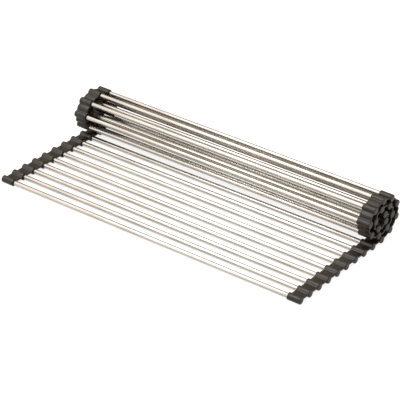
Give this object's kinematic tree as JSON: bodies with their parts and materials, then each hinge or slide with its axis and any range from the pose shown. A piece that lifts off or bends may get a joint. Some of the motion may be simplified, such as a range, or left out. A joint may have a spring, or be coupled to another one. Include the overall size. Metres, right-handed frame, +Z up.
{
  "type": "roll-up dish drying rack",
  "caption": "Roll-up sink drying rack of steel tubes joined by soft silicone end strips, front part lying flat and the rest rolled up on top; it unrolls flat.",
  "frame": {"origin": "on the worktop, under the middle of the part-rolled rack's footprint", "axes": "+X along the tubes, +Y from the flat front edge towards the roll, +Z up"},
  "size_m": [0.436, 0.2038, 0.0616],
  "materials": {
    "steel": "polished stainless tube",
    "silicone": "matt dark warm grey silicone"
  },
  "bodies": {
    "slat_01": {"tube_01": "steel", "end_caps_01": "silicone"},
    "slat_02": {"tube_02": "steel", "end_caps_02": "silicone"},
    "slat_03": {"tube_03": "steel", "end_caps_03": "silicone"},
    "slat_04": {"tube_04": "steel", "end_caps_04": "silicone"},
    "slat_05": {"tube_05": "steel", "end_caps_05": "silicone"},
    "slat_06": {"tube_06": "steel", "end_caps_06": "silicone"},
    "slat_07": {"tube_07": "steel", "end_caps_07": "silicone"},
    "slat_08": {"tube_08": "steel", "end_caps_08": "silicone"},
    "slat_09": {"tube_09": "steel", "end_caps_09": "silicone"},
    "slat_10": {"tube_10": "steel", "end_caps_10": "silicone"},
    "slat_11": {"tube_11": "steel", "end_caps_11": "silicone"},
    "slat_12": {"tube_12": "steel", "end_caps_12": "silicone"},
    "slat_13": {"tube_13": "steel", "end_caps_13": "silicone"},
    "slat_14": {"tube_14": "steel", "end_caps_14": "silicone"},
    "slat_15": {"tube_15": "steel", "end_caps_15": "silicone"},
    "slat_16": {"tube_16": "steel", "end_caps_16": "silicone"},
    "slat_17": {"tube_17": "steel", "end_caps_17": "silicone"},
    "slat_18": {"tube_18": "steel", "end_caps_18": "silicone"},
    "slat_19": {"tube_19": "steel", "end_caps_19": "silicone"},
    "slat_20": {"tube_20": "steel", "end_caps_20": "silicone"},
    "slat_21": {"tube_21": "steel", "end_caps_21": "silicone"},
    "slat_22": {"tube_22": "steel", "end_caps_22": "silicone"},
    "slat_23": {"tube_23": "steel", "end_caps_23": "silicone"},
    "slat_24": {"tube_24": "steel", "end_caps_24": "silicone"},
    "slat_25": {"tube_25": "steel", "end_caps_25": "silicone"},
    "slat_26": {"tube_26": "steel", "end_caps_26": "silicone"},
    "slat_27": {"tube_27": "steel", "end_caps_27": "silicone"}
  },
  "joints": [
    {"name": "bend_08_09", "type": "hinge", "parent": "slat_09", "child": "slat_08", "pos_m": [0, 0.04061, 0.0049], "axis": [1, 0, 0], "range_deg": [-57.6, 0]},
    {"name": "bend_07_08", "type": "hinge", "parent": "slat_08", "child": "slat_07", "pos_m": [0, 0.02221, 0.0049], "axis": [1, 0, 0], "range_deg": [-19.8, 0]},
    {"name": "bend_06_07", "type": "hinge", "parent": "slat_07", "child": "slat_06", "pos_m": [0, 0.00381, 0.0049], "axis": [1, 0, 0], "range_deg": [-40.7, 0]},
    {"name": "bend_05_06", "type": "hinge", "parent": "slat_06", "child": "slat_05", "pos_m": [0, -0.01459, 0.0049], "axis": [1, 0, 0], "range_deg": [-30.7, 0]},
    {"name": "bend_04_05", "type": "hinge", "parent": "slat_05", "child": "slat_04", "pos_m": [0, -0.03299, 0.0049], "axis": [1, 0, 0], "range_deg": [-22.4, 0]},
    {"name": "bend_03_04", "type": "hinge", "parent": "slat_04", "child": "slat_03", "pos_m": [0, -0.05139, 0.0049], "axis": [1, 0, 0], "range_deg": [-20, 0]},
    {"name": "bend_02_03", "type": "hinge", "parent": "slat_03", "child": "slat_02", "pos_m": [0, -0.06979, 0.0049], "axis": [1, 0, 0], "range_deg": [-22.2, 0]},
    {"name": "bend_01_02", "type": "hinge", "parent": "slat_02", "child": "slat_01", "pos_m": [0, -0.08819, 0.0049], "axis": [1, 0, 0], "range_deg": [-29.1, 0]},
    {"name": "bend_09_10", "type": "hinge", "parent": "slat_09", "child": "slat_10", "pos_m": [0, 0.05901, 0.0049], "axis": [-1, 0, 0], "range_deg": [0, 5.26]},
    {"name": "bend_10_11", "type": "hinge", "parent": "slat_10", "child": "slat_11", "pos_m": [0, 0.07734, 0.00658], "axis": [-1, 0, 0], "range_deg": [0, 24.29]},
    {"name": "bend_11_12", "type": "hinge", "parent": "slat_11", "child": "slat_12", "pos_m": [0, 0.09335, 0.01564], "axis": [-1, 0, 0], "range_deg": [0, 37.02]},
    {"name": "bend_12_13", "type": "hinge", "parent": "slat_12", "child": "slat_13", "pos_m": [0, 0.10069, 0.03251], "axis": [-1, 0, 0], "range_deg": [0, 49.3]},
    {"name": "bend_13_14", "type": "hinge", "parent": "slat_13", "child": "slat_14", "pos_m": [0, 0.09268, 0.04908], "axis": [-1, 0, 0], "range_deg": [0, 38.48]},
    {"name": "bend_14_15", "type": "hinge", "parent": "slat_14", "child": "slat_15", "pos_m": [0, 0.07611, 0.05707], "axis": [-1, 0, 0], "range_deg": [0, 27.77]},
    {"name": "bend_15_16", "type": "hinge", "parent": "slat_15", "child": "slat_16", "pos_m": [0, 0.05772, 0.05643], "axis": [-1, 0, 0], "range_deg": [0, 29.62]},
    {"name": "bend_16_17", "type": "hinge", "parent": "slat_16", "child": "slat_17", "pos_m": [0, 0.04205, 0.04679], "axis": [-1, 0, 0], "range_deg": [0, 47.32]},
    {"name": "bend_17_18", "type": "hinge", "parent": "slat_17", "child": "slat_18", "pos_m": [0, 0.0385, 0.02874], "axis": [-1, 0, 0], "range_deg": [0, 56.5]},
    {"name": "bend_18_19", "type": "hinge", "parent": "slat_18", "child": "slat_19", "pos_m": [0, 0.0516, 0.01581], "axis": [-1, 0, 0], "range_deg": [0, 37.45]},
    {"name": "bend_19_20", "type": "hinge", "parent": "slat_19", "child": "slat_20", "pos_m": [0, 0.06985, 0.0135], "axis": [-1, 0, 0], "range_deg": [0, 33.68]},
    {"name": "bend_20_21", "type": "hinge", "parent": "slat_20", "child": "slat_21", "pos_m": [0, 0.08632, 0.0217], "axis": [-1, 0, 0], "range_deg": [0, 57.47]},
    {"name": "bend_21_22", "type": "hinge", "parent": "slat_21", "child": "slat_22", "pos_m": [0, 0.08828, 0.04], "axis": [-1, 0, 0], "range_deg": [0, 65.82]},
    {"name": "bend_22_23", "type": "hinge", "parent": "slat_22", "child": "slat_23", "pos_m": [0, 0.0724, 0.04928], "axis": [-1, 0, 0], "range_deg": [0, 41.65]},
    {"name": "bend_23_24", "type": "hinge", "parent": "slat_23", "child": "slat_24", "pos_m": [0, 0.05435, 0.04567], "axis": [-1, 0, 0], "range_deg": [0, 64.81]},
    {"name": "bend_24_25", "type": "hinge", "parent": "slat_24", "child": "slat_25", "pos_m": [0, 0.04994, 0.02781], "axis": [-1, 0, 0], "range_deg": [0, 83.95]},
    {"name": "bend_25_26", "type": "hinge", "parent": "slat_25", "child": "slat_26", "pos_m": [0, 0.06723, 0.02152], "axis": [-1, 0, 0], "range_deg": [0, 65.13]},
    {"name": "bend_26_27", "type": "hinge", "parent": "slat_26", "child": "slat_27", "pos_m": [0, 0.08021, 0.03457], "axis": [-1, 0, 0], "range_deg": [0, 116.77]}
  ],
  "couplings": [
    {"joint": "bend_09_10", "follows": "bend_12_13", "ratio": 0.10626},
    {"joint": "bend_10_11", "follows": "bend_12_13", "ratio": 0.4922},
    {"joint": "bend_11_12", "follows": "bend_12_13", "ratio": 0.75043},
    {"joint": "bend_13_14", "follows": "bend_12_13", "ratio": 0.78013},
    {"joint": "bend_14_15", "follows": "bend_12_13", "ratio": 0.5628},
    {"joint": "bend_15_16", "follows": "bend_12_13", "ratio": 0.6003},
    {"joint": "bend_16_17", "follows": "bend_12_13", "ratio": 0.95947},
    {"joint": "bend_17_18", "follows": "bend_12_13", "ratio": 1.1457},
    {"joint": "bend_18_19", "follows": "bend_12_13", "ratio": 0.75909},
    {"joint": "bend_19_20", "follows": "bend_12_13", "ratio": 0.68279},
    {"joint": "bend_20_21", "follows": "bend_12_13", "ratio": 1.1653},
    {"joint": "bend_21_22", "follows": "bend_12_13", "ratio": 1.3346},
    {"joint": "bend_22_23", "follows": "bend_12_13", "ratio": 0.84439},
    {"joint": "bend_23_24", "follows": "bend_12_13", "ratio": 1.3142},
    {"joint": "bend_24_25", "follows": "bend_12_13", "ratio": 1.7023},
    {"joint": "bend_25_26", "follows": "bend_12_13", "ratio": 1.3207},
    {"joint": "bend_26_27", "follows": "bend_12_13", "ratio": 2.3682}
  ]
}
